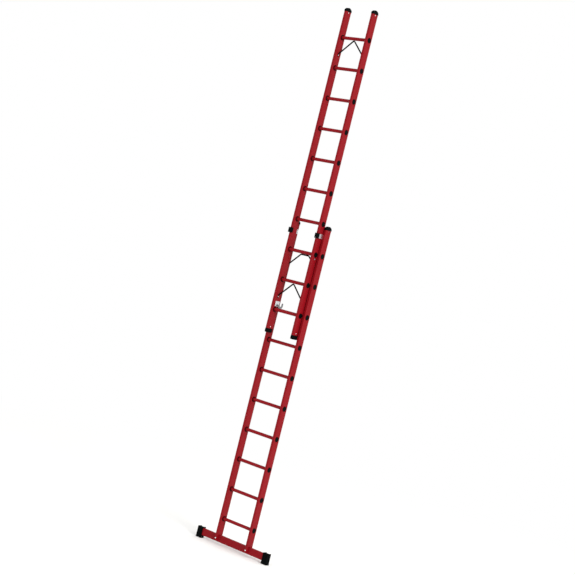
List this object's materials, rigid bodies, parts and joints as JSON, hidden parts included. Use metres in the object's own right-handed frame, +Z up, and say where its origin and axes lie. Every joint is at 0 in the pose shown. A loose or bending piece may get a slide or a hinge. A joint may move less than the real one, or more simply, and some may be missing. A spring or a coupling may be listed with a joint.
{
  "type": "extension ladder",
  "caption": "Two-section push-up extension ladder in glass-fibre polyester, with round rungs, a stabiliser bar with rubber feet, guides, caps and swinging rung hooks.",
  "frame": {"origin": "on the floor under the base section, midway between its stiles and in the mid-plane of their depth", "axes": "+X along the rungs to the right seen from the climbing side, +Y towards the wall, +Z up the stiles; the climber stands on the -Y side"},
  "size_m": [0.87, 0.1541, 4.995],
  "materials": {
    "red_grp": "satin",
    "black_plastic": "satin",
    "black_rubber": "matte",
    "black_steel": "satin",
    "strap_aluminium": "satin",
    "rivet_aluminium": "satin",
    "zinc_steel": "satin",
    "spring_steel": "satin"
  },
  "bodies": {
    "base": {"base_stile_left": "red_grp", "base_stile_right": "red_grp", "base_rung_01": "red_grp", "base_rung_02": "red_grp", "base_rung_03": "red_grp", "base_rung_04": "red_grp", "base_rung_05": "red_grp", "base_rung_06": "red_grp", "base_rung_07": "red_grp", "base_rung_08": "red_grp", "base_rung_09": "red_grp", "base_rung_10": "red_grp", "base_rung_collars": "black_plastic", "base_rung_plugs": "black_plastic", "base_cap_left": "black_plastic", "base_cap_right": "black_plastic", "base_cap_rivets": "rivet_aluminium", "stabiliser_bar": "red_grp", "rubber_foot_left": "black_rubber", "rubber_foot_right": "black_rubber", "bar_bolts": "zinc_steel", "bar_washers": "zinc_steel", "bar_nuts": "zinc_steel", "bar_spacers": "zinc_steel", "guide_strap_left": "strap_aluminium", "guide_strap_right": "strap_aluminium", "guide_block_left": "black_plastic", "guide_block_right": "black_plastic", "guide_rivets": "rivet_aluminium", "base_brace": "black_steel", "base_brace_rivets": "rivet_aluminium"},
    "fly": {"fly_stile_left": "red_grp", "fly_stile_right": "red_grp", "fly_rung_01": "red_grp", "fly_rung_02": "red_grp", "fly_rung_03": "red_grp", "fly_rung_04": "red_grp", "fly_rung_05": "red_grp", "fly_rung_06": "red_grp", "fly_rung_07": "red_grp", "fly_rung_08": "red_grp", "fly_rung_09": "red_grp", "fly_rung_10": "red_grp", "fly_rung_collars": "black_plastic", "fly_rung_plugs": "black_plastic", "fly_cap_left": "black_plastic", "fly_cap_right": "black_plastic", "fly_end_rivets": "rivet_aluminium", "fly_foot_left": "black_rubber", "fly_foot_right": "black_rubber", "fly_braces": "black_steel", "fly_brace_rivets": "rivet_aluminium", "extension_stop_screws": "zinc_steel", "hook_bracket_left": "zinc_steel", "hook_bracket_right": "zinc_steel", "hook_bracket_rivets": "rivet_aluminium", "hook_pivot_pins": "zinc_steel", "hook_springs": "spring_steel"},
    "hook_left": {"rung_hook_left": "zinc_steel"},
    "hook_right": {"rung_hook_right": "zinc_steel"}
  },
  "joints": [
    {"name": "fly_slide", "type": "slide", "parent": "base", "child": "fly", "axis": [0, 0, 1], "range_m": [-1.96, 0.18]},
    {"name": "hook_left_swing", "type": "hinge", "parent": "fly", "child": "hook_left", "pos_m": [-0.1347, -0.038, 2.24], "axis": [1, 0, 0], "range_deg": [0, 115], "stiffness_Nm_per_rad": 0.1, "springref_deg": -34.38},
    {"name": "hook_right_swing", "type": "hinge", "parent": "fly", "child": "hook_right", "pos_m": [0.1347, -0.038, 2.24], "axis": [1, 0, 0], "range_deg": [0, 115], "stiffness_Nm_per_rad": 0.1, "springref_deg": -34.38}
  ]
}
